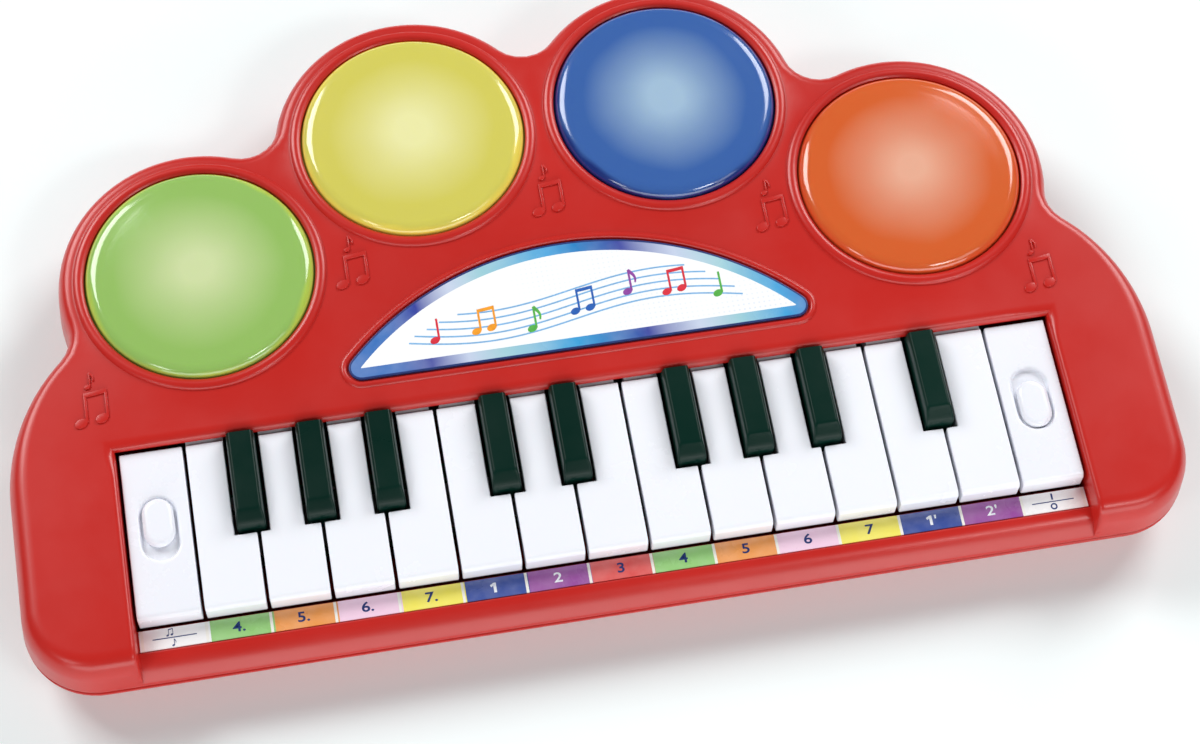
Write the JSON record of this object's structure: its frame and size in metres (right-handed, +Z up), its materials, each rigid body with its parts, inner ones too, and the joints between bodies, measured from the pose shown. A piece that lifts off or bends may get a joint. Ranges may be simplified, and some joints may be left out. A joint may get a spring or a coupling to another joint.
{
  "type": "toy electronic keyboard",
  "caption": "Child's toy keyboard in a lobed red case, with hinged keys, round light-up pads along the back, slide switches, a speaker and a battery bay with a hinged door.",
  "frame": {"origin": "on the surface the toy stands on, at the centre of the case's outline box", "axes": "+X towards the right-hand keys, +Y from the keys towards the pads at the back, +Z up"},
  "size_m": [0.355, 0.2068, 0.0345],
  "materials": {
    "red_case": "glossy moulded ABS with a very fine grain",
    "white_key": "polished white ABS",
    "black_key": "satin black ABS",
    "switch_white": "polished white ABS",
    "pad_green": "translucent glossy plastic",
    "pad_yellow": "translucent glossy plastic",
    "pad_blue": "translucent glossy plastic",
    "pad_orange": "translucent glossy plastic",
    "diffuser_white": "milky diffusing plastic",
    "inner_grey": "plain moulded plastic",
    "printed_card": "glossy printed label",
    "strip_print": "glossy printed label",
    "foot_rubber": "matte rubber",
    "contact_rubber": "matte silicone rubber",
    "zinc_screw": "bright zinc plate",
    "steel_rod": "drawn steel",
    "contact_metal": "nickel plate",
    "switch_can": "tinned steel",
    "circuit_board": "green solder mask",
    "led_lens": "clear epoxy",
    "chip_epoxy": "black epoxy blob",
    "wire_sleeve": "PVC sleeve",
    "speaker_steel": "plated steel",
    "speaker_paper": "black paper cone",
    "magnet_ferrite": "ferrite with a plated cup"
  },
  "bodies": {
    "case": {"upper_shell": "red_case", "lower_shell": "red_case", "case_screws": "zinc_screw", "rubber_feet": "foot_rubber", "badge_plate": "printed_card", "note_strip": "strip_print", "key_pivot_rod": "steel_rod", "key_frame": "inner_grey", "key_contact_board": "circuit_board", "key_contact_rubber": "contact_rubber", "mode_switch_panel": "switch_white", "power_switch_panel": "switch_white", "mode_slide_switch": "switch_can", "power_slide_switch": "switch_can", "pad_circuit_boards": "circuit_board", "pad_leds": "led_lens", "pad_return_domes": "contact_rubber", "main_circuit_board": "circuit_board", "sound_chip": "chip_epoxy", "board_screws": "zinc_screw", "internal_wires": "wire_sleeve", "speaker_frame": "speaker_steel", "speaker_cone": "speaker_paper", "speaker_magnet": "magnet_ferrite", "battery_contact_springs": "contact_metal", "battery_contact_plates": "contact_metal"},
    "white_key_01": {"white_key_01": "white_key"},
    "white_key_02": {"white_key_02": "white_key"},
    "white_key_03": {"white_key_03": "white_key"},
    "white_key_04": {"white_key_04": "white_key"},
    "white_key_05": {"white_key_05": "white_key"},
    "white_key_06": {"white_key_06": "white_key"},
    "white_key_07": {"white_key_07": "white_key"},
    "white_key_08": {"white_key_08": "white_key"},
    "white_key_09": {"white_key_09": "white_key"},
    "white_key_10": {"white_key_10": "white_key"},
    "white_key_11": {"white_key_11": "white_key"},
    "white_key_12": {"white_key_12": "white_key"},
    "white_key_13": {"white_key_13": "white_key"},
    "black_key_01": {"black_key_01": "black_key"},
    "black_key_02": {"black_key_02": "black_key"},
    "black_key_03": {"black_key_03": "black_key"},
    "black_key_04": {"black_key_04": "black_key"},
    "black_key_05": {"black_key_05": "black_key"},
    "black_key_06": {"black_key_06": "black_key"},
    "black_key_07": {"black_key_07": "black_key"},
    "black_key_08": {"black_key_08": "black_key"},
    "black_key_09": {"black_key_09": "black_key"},
    "pad_green": {"pad_lens_green": "pad_green", "pad_carrier_green": "diffuser_white"},
    "pad_yellow": {"pad_lens_yellow": "pad_yellow", "pad_carrier_yellow": "diffuser_white"},
    "pad_blue": {"pad_lens_blue": "pad_blue", "pad_carrier_blue": "diffuser_white"},
    "pad_orange": {"pad_lens_orange": "pad_orange", "pad_carrier_orange": "diffuser_white"},
    "mode_knob": {"mode_switch_knob": "switch_white"},
    "power_knob": {"power_switch_knob": "switch_white"},
    "battery_door": {"battery_door": "red_case", "battery_door_screw": "zinc_screw"}
  },
  "joints": [
    {"name": "white_key_01_press", "type": "hinge", "parent": "case", "child": "white_key_01", "pos_m": [0, -0.0246, 0.0215], "axis": [1, 0, 0], "range_deg": [0, 4.2], "stiffness_Nm_per_rad": 0.25, "springref_deg": -3.44},
    {"name": "white_key_02_press", "type": "hinge", "parent": "case", "child": "white_key_02", "pos_m": [0, -0.0246, 0.0215], "axis": [1, 0, 0], "range_deg": [0, 4.2], "stiffness_Nm_per_rad": 0.25, "springref_deg": -3.44},
    {"name": "white_key_03_press", "type": "hinge", "parent": "case", "child": "white_key_03", "pos_m": [0, -0.0246, 0.0215], "axis": [1, 0, 0], "range_deg": [0, 4.2], "stiffness_Nm_per_rad": 0.25, "springref_deg": -3.44},
    {"name": "white_key_04_press", "type": "hinge", "parent": "case", "child": "white_key_04", "pos_m": [0, -0.0246, 0.0215], "axis": [1, 0, 0], "range_deg": [0, 4.2], "stiffness_Nm_per_rad": 0.25, "springref_deg": -3.44},
    {"name": "white_key_05_press", "type": "hinge", "parent": "case", "child": "white_key_05", "pos_m": [0, -0.0246, 0.0215], "axis": [1, 0, 0], "range_deg": [0, 4.2], "stiffness_Nm_per_rad": 0.25, "springref_deg": -3.44},
    {"name": "white_key_06_press", "type": "hinge", "parent": "case", "child": "white_key_06", "pos_m": [0, -0.0246, 0.0215], "axis": [1, 0, 0], "range_deg": [0, 4.2], "stiffness_Nm_per_rad": 0.25, "springref_deg": -3.44},
    {"name": "white_key_07_press", "type": "hinge", "parent": "case", "child": "white_key_07", "pos_m": [0, -0.0246, 0.0215], "axis": [1, 0, 0], "range_deg": [0, 4.2], "stiffness_Nm_per_rad": 0.25, "springref_deg": -3.44},
    {"name": "white_key_08_press", "type": "hinge", "parent": "case", "child": "white_key_08", "pos_m": [0, -0.0246, 0.0215], "axis": [1, 0, 0], "range_deg": [0, 4.2], "stiffness_Nm_per_rad": 0.25, "springref_deg": -3.44},
    {"name": "white_key_09_press", "type": "hinge", "parent": "case", "child": "white_key_09", "pos_m": [0, -0.0246, 0.0215], "axis": [1, 0, 0], "range_deg": [0, 4.2], "stiffness_Nm_per_rad": 0.25, "springref_deg": -3.44},
    {"name": "white_key_10_press", "type": "hinge", "parent": "case", "child": "white_key_10", "pos_m": [0, -0.0246, 0.0215], "axis": [1, 0, 0], "range_deg": [0, 4.2], "stiffness_Nm_per_rad": 0.25, "springref_deg": -3.44},
    {"name": "white_key_11_press", "type": "hinge", "parent": "case", "child": "white_key_11", "pos_m": [0, -0.0246, 0.0215], "axis": [1, 0, 0], "range_deg": [0, 4.2], "stiffness_Nm_per_rad": 0.25, "springref_deg": -3.44},
    {"name": "white_key_12_press", "type": "hinge", "parent": "case", "child": "white_key_12", "pos_m": [0, -0.0246, 0.0215], "axis": [1, 0, 0], "range_deg": [0, 4.2], "stiffness_Nm_per_rad": 0.25, "springref_deg": -3.44},
    {"name": "white_key_13_press", "type": "hinge", "parent": "case", "child": "white_key_13", "pos_m": [0, -0.0246, 0.0215], "axis": [1, 0, 0], "range_deg": [0, 4.2], "stiffness_Nm_per_rad": 0.25, "springref_deg": -3.44},
    {"name": "black_key_01_press", "type": "hinge", "parent": "case", "child": "black_key_01", "pos_m": [0, -0.0246, 0.0215], "axis": [1, 0, 0], "range_deg": [0, 5], "stiffness_Nm_per_rad": 0.25, "springref_deg": -3.44},
    {"name": "black_key_02_press", "type": "hinge", "parent": "case", "child": "black_key_02", "pos_m": [0, -0.0246, 0.0215], "axis": [1, 0, 0], "range_deg": [0, 5], "stiffness_Nm_per_rad": 0.25, "springref_deg": -3.44},
    {"name": "black_key_03_press", "type": "hinge", "parent": "case", "child": "black_key_03", "pos_m": [0, -0.0246, 0.0215], "axis": [1, 0, 0], "range_deg": [0, 5], "stiffness_Nm_per_rad": 0.25, "springref_deg": -3.44},
    {"name": "black_key_04_press", "type": "hinge", "parent": "case", "child": "black_key_04", "pos_m": [0, -0.0246, 0.0215], "axis": [1, 0, 0], "range_deg": [0, 5], "stiffness_Nm_per_rad": 0.25, "springref_deg": -3.44},
    {"name": "black_key_05_press", "type": "hinge", "parent": "case", "child": "black_key_05", "pos_m": [0, -0.0246, 0.0215], "axis": [1, 0, 0], "range_deg": [0, 5], "stiffness_Nm_per_rad": 0.25, "springref_deg": -3.44},
    {"name": "black_key_06_press", "type": "hinge", "parent": "case", "child": "black_key_06", "pos_m": [0, -0.0246, 0.0215], "axis": [1, 0, 0], "range_deg": [0, 5], "stiffness_Nm_per_rad": 0.25, "springref_deg": -3.44},
    {"name": "black_key_07_press", "type": "hinge", "parent": "case", "child": "black_key_07", "pos_m": [0, -0.0246, 0.0215], "axis": [1, 0, 0], "range_deg": [0, 5], "stiffness_Nm_per_rad": 0.25, "springref_deg": -3.44},
    {"name": "black_key_08_press", "type": "hinge", "parent": "case", "child": "black_key_08", "pos_m": [0, -0.0246, 0.0215], "axis": [1, 0, 0], "range_deg": [0, 5], "stiffness_Nm_per_rad": 0.25, "springref_deg": -3.44},
    {"name": "black_key_09_press", "type": "hinge", "parent": "case", "child": "black_key_09", "pos_m": [0, -0.0246, 0.0215], "axis": [1, 0, 0], "range_deg": [0, 5], "stiffness_Nm_per_rad": 0.25, "springref_deg": -3.44},
    {"name": "pad_green_press", "type": "slide", "parent": "case", "child": "pad_green", "axis": [0, 0, -1], "range_m": [0, 0.0025], "stiffness_N_per_m": 400, "springref_m": -0.003},
    {"name": "pad_yellow_press", "type": "slide", "parent": "case", "child": "pad_yellow", "axis": [0, 0, -1], "range_m": [0, 0.0025], "stiffness_N_per_m": 400, "springref_m": -0.003},
    {"name": "pad_blue_press", "type": "slide", "parent": "case", "child": "pad_blue", "axis": [0, 0, -1], "range_m": [0, 0.0025], "stiffness_N_per_m": 400, "springref_m": -0.003},
    {"name": "pad_orange_press", "type": "slide", "parent": "case", "child": "pad_orange", "axis": [0, 0, -1], "range_m": [0, 0.0025], "stiffness_N_per_m": 400, "springref_m": -0.003},
    {"name": "mode_switch_slide", "type": "slide", "parent": "case", "child": "mode_knob", "axis": [0, -1, 0], "range_m": [0, 0.004]},
    {"name": "power_switch_slide", "type": "slide", "parent": "case", "child": "power_knob", "axis": [0, 1, 0], "range_m": [0, 0.004]},
    {"name": "battery_door_hinge", "type": "hinge", "parent": "case", "child": "battery_door", "pos_m": [-0.0682, 0, 0.0029], "axis": [0, 1, 0], "range_deg": [0, 75]}
  ]
}
